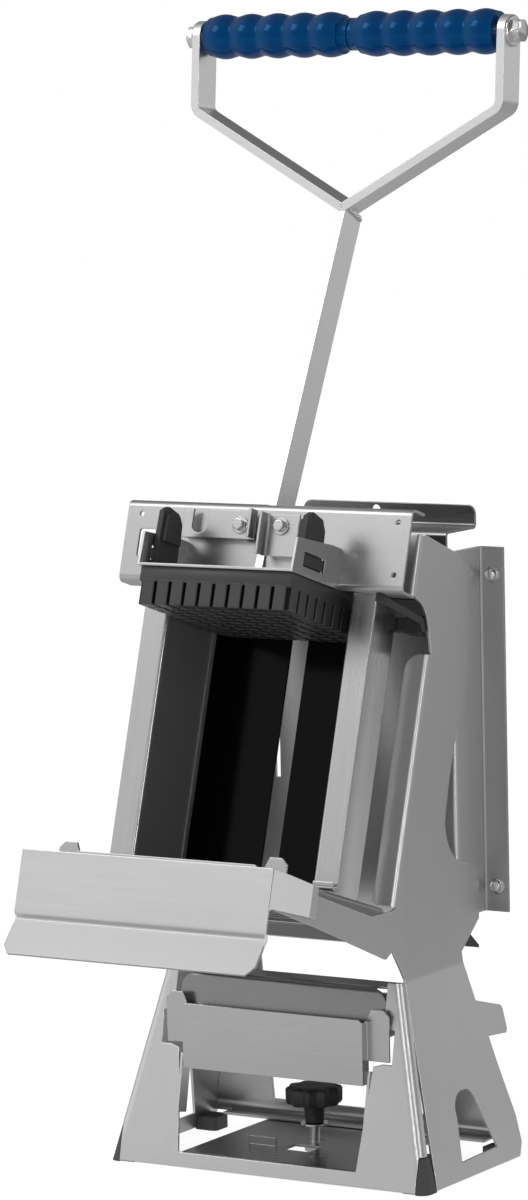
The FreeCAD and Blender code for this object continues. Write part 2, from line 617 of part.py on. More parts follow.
def tray():
    """The tray over the pusher: gussets with catch windows, a tongue back to the guide bar."""
    low = -TRAY_S
    rear = PUSHER_HALF - PUSHER_MID_T + 0.3
    plate = box(-GUSSET_HALF + SHEET, GUSSET_HALF - SHEET, -PUSHER_T - 2.5, rear, low, low + SHEET)
    tongue = box(-4, 4, rear, CHUTE_DEPTH + SHEET + 0.5, low - 7, low + SHEET)
    path = [(-PUSHER_T - 2.5, low), (-YOKE_T, low), (-YOKE_T, low + 23), (-12, low + 23),
            (-PUSHER_T - 1, low + 19.5)]
    gusset = prism(path, "x", GUSSET_HALF - SHEET, GUSSET_HALF)
    gusset = gusset.cut(box(45, 60, -42, -19, low + 5, low + 13.5))
    return lean(join([plate, tongue, gusset, mirror(gusset)]))


def pusher_block():
    """The black pusher: a block slotted both ways into pegs that pass between the blades."""
    high = -TRAY_S
    back = -PUSHER_MID_T
    block = box(-PUSHER_HALF, PUSHER_HALF, back - PUSHER_HALF, back + PUSHER_HALF,
                high - PUSHER_HEIGHT, high)
    cuts = []
    low = high - PUSHER_HEIGHT
    for i in range(1, PEG_COUNT):
        at = GRID_EDGE + i * CUT - GRID_HALF - SLOT_WIDTH / 2
        cuts.append(box(at, at + SLOT_WIDTH, back - 60, back + 60, low - 1, low + PEG_LENGTH))
        cuts.append(box(-60, 60, back + at, back + at + SLOT_WIDTH, low - 1, low + PEG_LENGTH))
    return lean(block.cut(Part.makeCompound(cuts)))


def catch(side):
    """A squeeze catch: finger pad above, barb through the gusset's window."""
    low = -TRAY_S + SHEET + 0.4
    inner = GUSSET_HALF - SHEET - 0.4
    blade = prism([(-42, low), (-19, low), (-20, low + 27), (-24, low + 33), (-35, low + 35),
                   (-40, low + 32)], "x", inner - 3.2, inner)
    pad = prism([(-39, low + 15), (-22, low + 15), (-23, low + 27), (-26, low + 31),
                 (-34, low + 32.5), (-38, low + 30)], "x", inner - 5.5, inner - 3.0)
    barb = box(inner - 0.2, inner + 1.5, -40.5, -20.5, -TRAY_S + 6.2, -TRAY_S + 12.2)
    shape = join([blade, pad, barb])
    return lean(sided(shape, side))


def lever_bracket(side):
    """A bracket stood off the yoke by its folded feet, with an ear beside the lever bar."""
    inner = BAR_THICK / 2 + 0.3
    front = -BRACKET_T
    low, high = (43.0, 59.5) if side < 0 else (34.0, 58.0)
    width = 52.0 if side < 0 else 24.5
    plate = folded([(width, front), (inner, front), (inner, front - 9)], "z", low, high)
    feet = [box(inner + 8, width - 2, front - 0.1, -YOKE_T, low, low + SHEET),
            box(inner + 4, 19, front - 0.1, -YOKE_T, 47.5, 54.5)]
    plate = join([plate] + feet)
    if side < 0:
        plate = plate.cut(prism([(35.8, 70), (35.8, 49.5), (40.6, 45.8, "via"), (45.5, 49.5),
                                 (45.5, 70)], "y", front - 8, front + 2))
        plate = plate.cut(prism([(46, 64), (54, 64), (54, 55), (50, 58.5, "via"), (46, 59.6)],
                                "y", front - 8, front + 2))
    return lean(sided(plate, side))


def bracket_screws():
    """Hex screws with washers that fasten the two lever brackets."""
    pieces = []
    y = -BRACKET_T - SHEET
    for x in (-13.4, 13.4):
        washer = cylinder(5.0, 0.8, vec(x, y - 0.8, 51), vec(0, 1, 0))
        head = hexagon(3.6, 3.2, x, 51, y - 4.0)
        pieces.append(lean(join([washer, head])))
    return Part.makeCompound(pieces)


def hexagon(r, length, x, z, y):
    points = []
    for k in range(6):
        a = math.radians(60 * k + 30)
        points.append((x + r * math.cos(a), z + r * math.sin(a)))
    return prism(points, "y", y, y + length)


def lever():
    """The lever bar: a flat bar on edge from the tray up and back to the fork."""
    y0, z0 = LEVER_FOOT
    y1, z1 = LEVER_HEAD
    length = math.hypot(y1 - y0, z1 - z0)
    bar = box(-BAR_THICK / 2, BAR_THICK / 2, -BAR_DEPTH / 2, BAR_DEPTH / 2, 0, length + 3)
    tip = math.degrees(math.atan2(y1 - y0, z1 - z0))
    bar.rotate(vec(0, 0, 0), vec(1, 0, 0), -tip)
    bar.translate(vec(0, y0, z0))
    floor = chute_box(-20, 20, -60, 60, TRAY_S - SHEET, 40)
    return bar.cut(floor).cut(fork_arm(1)).cut(fork_arm(-1))


def fork_arm(side):
    """Half of the handle's fork: a flat bar from the lever's head out, up to the grips."""
    inner = FORK_HALF
    z0 = LEVER_HEAD[1]
    z1 = FORK_BEND[1]
    path = [(0.35, z0 + 0.5), (inner + BAR_THICK, z1 + 2.4), (inner + BAR_THICK, GRIP_Z + 9.5)]
    arm = folded(path, "y", -BAR_DEPTH / 2, BAR_DEPTH / 2, BAR_THICK, 4.0)
    arm = arm.cut(box(-20, 0.35, -40, 40, 0, 800))
    r = BAR_DEPTH / 2
    cap = prism([(-r, GRIP_Z - 60), (r, GRIP_Z - 60), (r, GRIP_Z), (0, GRIP_Z + r, "via"),
                 (-r, GRIP_Z)], "x", inner - 5, inner + 30)
    low = box(-10, inner + 40, -40, 40, 0, GRIP_Z - 30)
    arm = arm.common(cap.fuse(low))
    arm = arm.cut(cylinder(ROD_R + RUN_GAP, 40, vec(inner - 5, 0, GRIP_Z), vec(1, 0, 0)))
    tip = math.degrees(math.atan2(GRIP_Y - LEVER_HEAD[0], GRIP_Z - z0))
    arm.rotate(vec(0, 0, GRIP_Z), vec(1, 0, 0), -tip)
    arm.translate(vec(0, GRIP_Y, 0))
    return sided(arm, side)


def grip(side):
    """A moulded grip: five rounded swells in a row, bored for the cross rod."""
    start = FORK_HALF - 3.2 - GRIP_LENGTH
    pitch = GRIP_LENGTH / GRIP_RIDGES
    edges = []
    for i in range(GRIP_RIDGES):
        a = vec(start + i * pitch, 0, GRIP_VALLEY_R)
        m = vec(start + (i + 0.5) * pitch, 0, GRIP_RIDGE_R)
        b = vec(start + (i + 1) * pitch, 0, GRIP_VALLEY_R)
        edges.append(Part.Arc(a, m, b).toShape())
    end = start + GRIP_LENGTH
    bore = ROD_R + RUN_GAP
    corners = [vec(end, 0, GRIP_VALLEY_R), vec(end, 0, bore), vec(0.2, 0, bore),
               vec(0.2, 0, GRIP_NECK_R), vec(start, 0, GRIP_NECK_R), vec(start, 0, GRIP_VALLEY_R)]
    for p, q in zip(corners, corners[1:]):
        edges.append(Part.LineSegment(p, q).toShape())
    face = Part.Face(Part.Wire(edges))
    sleeve = face.revolve(vec(0, 0, 0), vec(1, 0, 0), 360)
    sleeve.translate(vec(0, GRIP_Y, GRIP_Z))
    return sided(sleeve, side)


def grip_rod():
    """The cross rod through the fork's ends and both grips."""
    outer = FORK_HALF + BAR_THICK
    return cylinder(ROD_R, 2 * outer + 8, vec(-outer - 6, GRIP_Y, GRIP_Z), vec(1, 0, 0))


def rod_hardware():
    """Washers, hex head and nut outside the fork's ends."""
    outer = FORK_HALF + BAR_THICK
    pieces = []
    for side, high in ((1, 5.5), (-1, 5.0)):
        x = side * outer
        washer = cylinder(9.0, 1.6, vec(x, GRIP_Y, GRIP_Z), vec(side, 0, 0))
        points = []
        for k in range(6):
            a = math.radians(60 * k)
            points.append((GRIP_Y + 7.2 * math.cos(a), GRIP_Z + 7.2 * math.sin(a)))
        low, top = sorted((x + side * 1.6, x + side * (1.6 + high)))
        head = prism(points, "x", low, top)
        piece = join([washer, head])
        pieces.append(piece.cut(cylinder(ROD_R + RUN_GAP, 2 * outer + 8, vec(-outer - 6, GRIP_Y, GRIP_Z),
                                         vec(1, 0, 0))))
    return Part.makeCompound(pieces)


def clamp_stud():
    """The clamp screw's stud, headed under the floor."""
    head = cylinder(6.0, 3.0, vec(0, CLAMP_Y, FLOOR_Z - SHEET - 3.0), vec(0, 0, 1))
    shank = cylinder(STUD_R, KNOB_Z + 7.5 - (FLOOR_Z - SHEET), vec(0, CLAMP_Y, FLOOR_Z - SHEET),
                     vec(0, 0, 1))
    return join([head, shank])


def clamp_washer():
    """The collar that rides up and down under the knob."""
    disc = cylinder(8.0, 1.2, vec(0, CLAMP_Y, KNOB_Z - 12.0), vec(0, 0, 1))
    return disc.cut(cylinder(KNOB_BORE_R, 30, vec(0, CLAMP_Y, 0), vec(0, 0, 1)))


def clamp_knob():
    """The lobed hand knob with its hub, tapped blind from below."""
    lobes = []
    for k in range(KNOB_LOBES):
        a = 2 * math.pi * k / KNOB_LOBES
        lobes.append(cylinder(3.4, KNOB_HEIGHT, vec((KNOB_R - 3.4) * math.cos(a),
                                                    (KNOB_R - 3.4) * math.sin(a), 0),
                              vec(0, 0, 1)))
    body = join([cylinder(KNOB_R - 3.0, KNOB_HEIGHT, vec(0, 0, 0), vec(0, 0, 1))] + lobes)
    hub = Part.makeCone(5.5, 6.2, 10.6, vec(0, 0, -10.6), vec(0, 0, 1))
    knob = join([body, hub]).cut(cylinder(KNOB_BORE_R, 18.8, vec(0, 0, -10.7), vec(0, 0, 1)))
    knob.translate(vec(0, CLAMP_Y, KNOB_Z))
    return knob


def build():
    right = side_plate()
    save("side_plate_right", right)
    save("side_plate_left", mirror(right))
    save("front_panel", front_panel())
    save("floor_plate", floor_plate())
    save("rear_panel", rear_panel())
    for name, side in (("left", -1), ("right", 1)):
        save("foot_front_" + name, sided(front_foot(), side))
        save("foot_rear_" + name, sided(rear_foot(), side))
        save("lever_bracket_" + name, lever_bracket(side))
        save("link_" + name, link(side))
        save("catch_" + name, catch(side))
        save("fork_arm_" + name, fork_arm(side))
        save("grip_" + name, grip(side))
    save("rear_channel", rear_channel())
    save("hanger_plate", hanger_plate())
    save("rear_apron", rear_apron())
    save("feed_chute", feed_chute())
    save("blade_deck", blade_deck())
    save("chute_brace", chute_brace())
    save("storage_hood", storage_hood())
    frame = cartridge_frame()
    upper, lower = cartridge_blades()
    save("cartridge_frame", seat_main(frame))
    save("blades_lengthwise", seat_main(upper))
    save("blades_crosswise", seat_main(lower))
    save("spare_frame", seat_spare(frame))
    save("spare_blades_lengthwise", seat_spare(upper))
    save("spare_blades_crosswise", seat_spare(lower))
    save("blade_door", door_panel())
    save("carriage_yoke", yoke())
    save("guide_bar", guide_bar())
    save("pusher_tray", tray())
    save("pusher_block", pusher_block())
    save("bracket_screws", bracket_screws())
    save("lever_bar", lever())
    save("grip_rod", grip_rod())
    save("rod_hardware", rod_hardware())
    save("clamp_stud", clamp_stud())
    save("clamp_washer", clamp_washer())
    save("clamp_knob", clamp_knob())
    print("travel of the carriage", round(TRAVEL, 2))


build()
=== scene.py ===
# %% [markdown]
# # French fry cutter, finished look
# A folded sheet-steel cutter with a long lever, seen from its right front.
# The frame gives every CAD piece in metres; this notebook gives them their metal, plastic and
# rubber, and swaps the grips, pusher, blades, knob and fasteners for finely made ones.

# %% Load the frame
import bpy
import bmesh
import math
from mathutils import Matrix, Vector


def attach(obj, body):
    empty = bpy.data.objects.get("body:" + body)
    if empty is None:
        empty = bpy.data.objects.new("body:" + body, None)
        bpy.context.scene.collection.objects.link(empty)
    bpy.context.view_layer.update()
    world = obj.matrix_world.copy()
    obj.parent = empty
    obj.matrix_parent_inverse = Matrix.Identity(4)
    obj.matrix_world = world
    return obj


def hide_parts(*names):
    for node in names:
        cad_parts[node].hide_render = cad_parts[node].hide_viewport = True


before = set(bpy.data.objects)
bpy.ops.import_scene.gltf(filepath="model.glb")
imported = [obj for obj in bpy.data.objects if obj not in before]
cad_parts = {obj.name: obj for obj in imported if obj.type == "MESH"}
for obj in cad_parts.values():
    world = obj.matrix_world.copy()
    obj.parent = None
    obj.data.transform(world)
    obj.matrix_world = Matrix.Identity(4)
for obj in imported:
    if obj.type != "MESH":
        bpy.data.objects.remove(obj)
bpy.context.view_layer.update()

# %% [markdown]
# ## Shape values
# The chute leans back by one angle, and everything on the carriage follows it.

# %% Shape values
LEAN = math.radians(17.6)
CHUTE_ORIGIN = Vector((0, -0.050, 0.3196))
CUT = 0.009525
HANDLE_Y, HANDLE_Z = 0.0705, 0.644
CLAMP_Y, KNOB_Z = 0.0016, 0.032
WALL_SCREW_X, WALL_SCREW_HEIGHTS = 0.085, (0.1543, 0.335)


def chute_matrix():
    """From the chute's own frame (x, back, up along the chute) to the row frame."""
    return Matrix.Translation(CHUTE_ORIGIN) @ Matrix.Rotation(-LEAN, 4, "X")


# %% [markdown]
# ## Camera
# A long lens, a third of the way round to the right and a little above, rolled very slightly.

# %% Camera
def add_camera(azimuth, elevation, roll, distance, target, lens_mm):
    az, el = math.radians(azimuth), math.radians(elevation)
    forward = Vector((-math.sin(az) * math.cos(el), math.cos(az) * math.cos(el), -math.sin(el)))
    right = Vector((math.cos(az), math.sin(az), 0))
    up = right.cross(forward)
    right, up = (right * math.cos(roll) + up * math.sin(roll),
                 up * math.cos(roll) - right * math.sin(roll))
    data = bpy.data.cameras.new("front right camera")
    data.sensor_fit = "VERTICAL"
    data.sensor_height = 36.0
    data.lens = lens_mm
    data.clip_end = 50
    camera = bpy.data.objects.new("front right camera", data)
    turn = Matrix((right, up, -forward)).transposed().to_4x4()
    camera.matrix_world = Matrix.Translation(target - forward * distance) @ turn
    bpy.context.scene.collection.objects.link(camera)
    bpy.context.scene.camera = camera
    bpy.context.scene.view_settings.view_transform = "Standard"
    print("camera stands at", [round(v, 3) for v in camera.matrix_world.translation])


add_camera(31.4, 6.45, -0.0215, 2.817, Vector((0, -0.042, 0.328972)), 150.27)

# %% [markdown]
# ## Shared surface effects
# Each effect is a node group that gives out a mask or a value: brushed grain that runs along
# one direction, slow clouding, and the bright line along folded edges, partly wear and partly a
# painted highlight.

# %% Node helpers
def socket(group, name, kind, way="INPUT", value=None):
    made = group.interface.new_socket(name=name, in_out=way, socket_type=kind)
    if value is not None:
        made.default_value = value
    return made


def math_node(nodes, links, operation, a, b=None):
    node = nodes.new("ShaderNodeMath")
    node.operation = operation
    for index, value in enumerate((a, b)):
        if value is None:
            continue
        if isinstance(value, (int, float)):
            node.inputs[index].default_value = value
        else:
            links.new(value, node.inputs[index])
    return node.outputs[0]


def noise(nodes, links, vector, scale, detail=2.0, rough=0.5):
    node = nodes.new("ShaderNodeTexNoise")
    node.inputs["Scale"].default_value = scale
    node.inputs["Detail"].default_value = detail
    node.inputs["Roughness"].default_value = rough
    links.new(vector, node.inputs["Vector"])
    return node.outputs["Fac"]


def ramp(nodes, links, value, low, high, out_low=0.0, out_high=1.0):
    node = nodes.new("ShaderNodeMapRange")
    node.inputs["From Min"].default_value = low
    node.inputs["From Max"].default_value = high
    node.inputs["To Min"].default_value = out_low
    node.inputs["To Max"].default_value = out_high
    links.new(value, node.inputs["Value"])
    return node.outputs["Result"]


# %% Brushed grain group
def grain_group():
    """Fine lines along one direction of the sheet, turned on faces square to that direction."""
    group = bpy.data.node_groups.new("brushed grain", "ShaderNodeTree")
    for name in ("Stretch", "Side Stretch", "Top Stretch"):
        socket(group, name, "NodeSocketVector")
    socket(group, "Turn", "NodeSocketFloat", value=0.0)
    socket(group, "Grain", "NodeSocketFloat", "OUTPUT")
    nodes, links = group.nodes, group.links
    enter, leave = nodes.new("NodeGroupInput"), nodes.new("NodeGroupOutput")
    coordinates = nodes.new("ShaderNodeTexCoord")
    turned_pair = []
    for source in (coordinates.outputs["Object"], coordinates.outputs["Normal"]):
        turn = nodes.new("ShaderNodeVectorRotate")
        turn.rotation_type = "X_AXIS"
        links.new(source, turn.inputs["Vector"])
        links.new(enter.outputs["Turn"], turn.inputs["Angle"])
        turned_pair.append(turn.outputs[0])
    place, facing = turned_pair
    split = nodes.new("ShaderNodeSeparateXYZ")
    links.new(facing, split.inputs[0])
    stretch = enter.outputs["Stretch"]
    for axis, other in (("X", "Side Stretch"), ("Z", "Top Stretch")):
        square = math_node(nodes, links, "GREATER_THAN",
                           math_node(nodes, links, "ABSOLUTE", split.outputs[axis]), 0.72)
        pick = nodes.new("ShaderNodeMix")
        pick.data_type = "VECTOR"
        links.new(square, pick.inputs["Factor"])
        links.new(stretch, pick.inputs[4])
        links.new(enter.outputs[other], pick.inputs[5])
        stretch = pick.outputs[1]
    scaled = nodes.new("ShaderNodeVectorMath")
    scaled.operation = "MULTIPLY"
    links.new(place, scaled.inputs[0])
    links.new(stretch, scaled.inputs[1])
    fine = noise(nodes, links, scaled.outputs[0], 4.0, 3.0, 0.6)
    coarse = noise(nodes, links, scaled.outputs[0], 0.9, 2.0, 0.5)
    links.new(math_node(nodes, links, "ADD", math_node(nodes, links, "MULTIPLY", fine, 0.7),
                        math_node(nodes, links, "MULTIPLY", coarse, 0.3)), leave.inputs["Grain"])
    return group


GRAIN = grain_group()

# %% Clouding group
def cloud_group():
    """Slow patches a hand or two wide, as wiped steel shows under studio light."""
    group = bpy.data.node_groups.new("wiped clouding", "ShaderNodeTree")
    socket(group, "Size", "NodeSocketFloat", value=9.0)
    socket(group, "Cloud", "NodeSocketFloat", "OUTPUT")
    nodes, links = group.nodes, group.links
    enter, leave = nodes.new("NodeGroupInput"), nodes.new("NodeGroupOutput")
    place = nodes.new("ShaderNodeTexCoord").outputs["Object"]
    node = nodes.new("ShaderNodeTexNoise")
    node.inputs["Detail"].default_value = 3.0
    links.new(place, node.inputs["Vector"])
    links.new(enter.outputs["Size"], node.inputs["Scale"])
    links.new(node.outputs["Fac"], leave.inputs["Cloud"])
    return group


CLOUD = cloud_group()

# %% Worn edge group
def edge_group():
    """A mask along sharp edges, for wear and a painted highlight where the rounded arris catches the
    light.
    """
    group = bpy.data.node_groups.new("worn edges and painted highlight", "ShaderNodeTree")
    socket(group, "Radius", "NodeSocketFloat", value=0.0007)
    socket(group, "Edge", "NodeSocketFloat", "OUTPUT")
    socket(group, "Normal", "NodeSocketVector", "OUTPUT")
    nodes, links = group.nodes, group.links
    enter, leave = nodes.new("NodeGroupInput"), nodes.new("NodeGroupOutput")
    bevel = nodes.new("ShaderNodeBevel")
    bevel.samples = 8
    links.new(enter.outputs["Radius"], bevel.inputs["Radius"])
    plain = nodes.new("ShaderNodeNewGeometry").outputs["Normal"]
    dot = nodes.new("ShaderNodeVectorMath")
    dot.operation = "DOT_PRODUCT"
    links.new(bevel.outputs[0], dot.inputs[0])
    links.new(plain, dot.inputs[1])
    links.new(ramp(nodes, links, dot.outputs["Value"], 0.99, 0.85), leave.inputs["Edge"])
    links.new(bevel.outputs[0], leave.inputs["Normal"])
    return group


EDGE = edge_group()

# %% [markdown]
# ## Metals
# The steels share one recipe. Each sheet gets its own grain direction, as it was cut and
# folded from a brushed blank, and its own brightness; the level sheet's low tone is painted shade.

# %% Steel recipe
STRETCH = {"x": (5.0, 330.0, 330.0), "y": (330.0, 5.0, 330.0), "z": (330.0, 330.0, 5.0)}


def new_material(name):
    made = bpy.data.materials.new(name)
    made.use_nodes = True
    nodes = made.node_tree.nodes
    nodes.clear()
    out = nodes.new("ShaderNodeOutputMaterial")
    shader = nodes.new("ShaderNodeBsdfPrincipled")
    made.node_tree.links.new(shader.outputs[0], out.inputs["Surface"])
    return made, nodes, made.node_tree.links, shader


def use(nodes, group, **values):
    """A shared effect placed in a material, with its named values set."""
    node = nodes.new("ShaderNodeGroup")
    node.node_tree = group
    for name, value in values.items():
        node.inputs[name].default_value = value
    return node


def mix_colour(nodes, links, factor, a, b):
    node = nodes.new("ShaderNodeMix")
    node.data_type = "RGBA"
    links.new(factor, node.inputs["Factor"])
    for key, value in ((6, a), (7, b)):
        if isinstance(value, tuple):
            node.inputs[key].default_value = (*value, 1.0)
        else:
            links.new(value, node.inputs[key])
    return node.outputs[2]


def steel(name, along="x", leaning=False, tone=0.6, rough=0.3, grain=0.07, edge=0.0007, cloud=9.0):
    """Brushed stainless steel, with grain along an axis of the stand or of the leaning chute."""
    made, nodes, links, shader = new_material(name)
    lines = use(nodes, GRAIN, **{
        "Stretch": STRETCH[along], "Side Stretch": STRETCH["z" if along == "x" else along],
        "Top Stretch": STRETCH["x" if along == "z" else along], "Turn": LEAN if leaning else 0.0})
    patch = use(nodes, CLOUD, Size=cloud)
    wear_and_highlight = use(nodes, EDGE, Radius=edge)
    dark = tuple(tone * v for v in (0.91, 0.915, 0.925))
    light = tuple(min(1.0, tone * v) for v in (1.06, 1.06, 1.055))
    body = mix_colour(nodes, links, lines.outputs["Grain"], dark, light)
    shade = ramp(nodes, links, patch.outputs["Cloud"], 0.35, 0.65, 0.0, 0.16)
    body = mix_colour(nodes, links, shade, body, tuple(tone * v for v in (0.62, 0.62, 0.64)))
    # Edges are painted paler: partly wear, partly a painted highlight on the arris
    pale = tuple(min(1.0, tone * 1.35) for _ in range(3))
    links.new(mix_colour(nodes, links, wear_and_highlight.outputs["Edge"], body, pale), shader.inputs["Base Color"])
    spread = ramp(nodes, links, lines.outputs["Grain"], 0.25, 0.75,
                  rough - grain / 2, rough + grain / 2)
    spread = math_node(nodes, links, "ADD", spread,
                       ramp(nodes, links, patch.outputs["Cloud"], 0.3, 0.7, -0.03, 0.04))
    links.new(spread, shader.inputs["Roughness"])
    bump = nodes.new("ShaderNodeBump")
    bump.inputs["Strength"].default_value = 0.035
    bump.inputs["Distance"].default_value = 0.0003
    links.new(lines.outputs["Grain"], bump.inputs["Height"])
    links.new(wear_and_highlight.outputs["Normal"], bump.inputs["Normal"])
    links.new(bump.outputs[0], shader.inputs["Normal"])
    shader.inputs["Metallic"].default_value = 1.0
    return made


# %% Steel materials
SHEETS = {
    "upright sheet": steel("upright sheet", "z", tone=0.70, rough=0.36),
    "front sheet": steel("front sheet", "z", tone=0.74, rough=0.32),
    # The level sheet's low tone is painted shade on the flat plates
    "level sheet with painted shade": steel("level sheet with painted shade", "x", tone=0.34, rough=0.24),
    "back sheet": steel("back sheet", "z", tone=0.72, rough=0.32),
    "chute sheet": steel("chute sheet", "z", leaning=True, tone=0.62, rough=0.24, grain=0.08),
    "carriage sheet": steel("carriage sheet", "x", leaning=True, tone=0.56, rough=0.30),
    "door sheet": steel("door sheet", "x", leaning=True, tone=0.78, rough=0.34, cloud=6.0),
    "cartridge sheet": steel("cartridge sheet", "x", tone=0.60, rough=0.28),
}
BAR = steel("linished bar", "z", tone=0.98, rough=0.34, edge=0.0005)
FORK = steel("linished fork", "x", tone=0.95, rough=0.30, edge=0.0005)
BRIGHT = steel("bright fastener", "x", tone=0.72, rough=0.16, grain=0.04, edge=0.0004)
BLADE = steel("ground blade", "x", tone=0.7, rough=0.18, edge=0.0002)
print("steels made:", len(SHEETS) + 4)

# %% Places on the machine
def place_mask(nodes, links, leaning, limits):
    """1 between two limits of a coordinate, in the stand's frame or the leaning chute's."""
    place = nodes.new("ShaderNodeTexCoord").outputs["Object"]
    if leaning:
        shift = nodes.new("ShaderNodeVectorMath")
        shift.operation = "SUBTRACT"
        links.new(place, shift.inputs[0])
        shift.inputs[1].default_value = CHUTE_ORIGIN
        turn = nodes.new("ShaderNodeVectorRotate")
        turn.rotation_type = "X_AXIS"
        links.new(shift.outputs[0], turn.inputs["Vector"])
        turn.inputs["Angle"].default_value = LEAN
        place = turn.outputs[0]
    split = nodes.new("ShaderNodeSeparateXYZ")
    links.new(place, split.inputs[0])
    mask = 1.0
    for axis, low, high in limits:
        value = split.outputs[axis]
        if axis == "X":
            value = math_node(nodes, links, "ABSOLUTE", value)
        above = math_node(nodes, links, "GREATER_THAN", value, low)
        below = math_node(nodes, links, "LESS_THAN", value, high)
        between = math_node(nodes, links, "MULTIPLY", above, below)
        mask = math_node(nodes, links, "MULTIPLY", between, mask)
    return mask


def override(material, mask_limits, leaning, colour, rough, metal=1.0):
    """Give one region of a material its own colour, roughness and metal."""
    nodes, links = material.node_tree.nodes, material.node_tree.links
    shader = next(n for n in nodes if n.type == "BSDF_PRINCIPLED")
    mask = place_mask(nodes, links, leaning, mask_limits)
    was = shader.inputs["Base Color"].links[0].from_socket
    links.new(mix_colour(nodes, links, mask, was, colour), shader.inputs["Base Color"])
    spread = shader.inputs["Roughness"].links[0].from_socket
    keep = math_node(nodes, links, "MULTIPLY", spread, math_node(nodes, links, "SUBTRACT", 1.0, mask))
    add = math_node(nodes, links, "MULTIPLY", mask, rough)
    links.new(math_node(nodes, links, "ADD", keep, add), shader.inputs["Roughness"])
    if metal < 1.0:
        fall = math_node(nodes, links, "MULTIPLY", mask, metal - 1.0)
        links.new(math_node(nodes, links, "ADD", fall, 1.0), shader.inputs["Metallic"])


# The chute's inside is darkened, in place of the dark machine that it would mirror
override(SHEETS["chute sheet"], [("X", -1, 0.0588), ("Y", 0.040, 0.0510)], True,
         (0.012, 0.012, 0.013), 0.13)
# The chute's side walls are painted flat dark grey and not metallic, a painted reflection of what they
# mirror
override(SHEETS["chute sheet"], [("X", 0.0560, 0.0595), ("Y", 0.0010, 0.0500)], True,
         (0.15, 0.15, 0.155), 0.24, 0.0)
# The rails in front of the channel are painted near white, a painted highlight for the bright strip
# along them
override(SHEETS["upright sheet"], [("X", 0.0630, 0.0775), ("Y", 0.0570, 0.0630)], True,
         (0.95, 0.95, 0.95), 0.3)
# The wall flanges and the door's lip are rougher than the sheet that they fold from, and painted darker,
# a painted shade for the dark that they reflect
override(SHEETS["back sheet"], [("Y", 0.0690, 0.0730)], False, (0.44, 0.44, 0.45), 0.42)
override(SHEETS["door sheet"], [("Z", -0.260, -0.187)], True, (0.56, 0.56, 0.57), 0.40)
# Each door tab's outer face is painted pale and not metallic
override(SHEETS["door sheet"], [("X", 0.0800, 1), ("Y", -0.078, -0.035)], True,
         (1.0, 1.0, 1.0), 0.5, 0.0)

# %% [markdown]
# ## Plastics and rubber

# %% Plastic recipe
def plastic(name, colour, rough, texture=260.0, depth=0.05, fade=(0.03, 0.03, 0.03),
            tint=(1.0, 1.0, 1.0)):
    """Moulded plastic: faint orange peel, rubbed edges and a slow change of tone."""
    made, nodes, links, shader = new_material(name)
    patch = use(nodes, CLOUD, Size=25.0)
    wear_and_highlight = use(nodes, EDGE, Radius=0.0006)
    place = nodes.new("ShaderNodeTexCoord").outputs["Object"]
    peel = noise(nodes, links, place, texture, 2.0)
    lighter = tuple(min(1.0, c * 1.5 + f) for c, f in zip(colour, fade))
    shade = ramp(nodes, links, patch.outputs["Cloud"], 0.3, 0.7, 0.0, 0.35)
    body = mix_colour(nodes, links, shade, colour, tuple(c * 0.72 for c in colour))
    rub = math_node(nodes, links, "MULTIPLY", wear_and_highlight.outputs["Edge"], 0.5)
    links.new(mix_colour(nodes, links, rub, body, lighter), shader.inputs["Base Color"])
    links.new(ramp(nodes, links, peel, 0.3, 0.7, rough - 0.05, rough + 0.07), shader.inputs["Roughness"])
    bump = nodes.new("ShaderNodeBump")
    bump.inputs["Strength"].default_value = depth
    bump.inputs["Distance"].default_value = 0.0005
    links.new(peel, bump.inputs["Height"])
    links.new(wear_and_highlight.outputs["Normal"], bump.inputs["Normal"])
    links.new(bump.outputs[0], shader.inputs["Normal"])
    shader.inputs["Specular Tint"].default_value = (*tint, 1.0)
    return made


BLACK = plastic("black moulding", (0.034, 0.034, 0.035), 0.44)
BLUE = plastic("blue grip", (0.0, 0.048, 0.19), 0.10, texture=90.0, depth=0.03,
               fade=(0.0, 0.01, 0.04), tint=(0.10, 0.55, 1.0))
PEGS = plastic("black pegs", (0.055, 0.055, 0.056), 0.34)
RUBBER = plastic("grey rubber", (0.085, 0.086, 0.090), 0.55, texture=700.0, depth=0.2)

# Little light reaches between the pusher's pegs
override(PEGS, [("X", -1, 0.0487), ("Y", -0.0495, 0.0479), ("Z", -0.0031, 0.0102)], True,
         (0.003, 0.003, 0.003), 0.7)

# %% [markdown]
# ## Finish on the CAD pieces

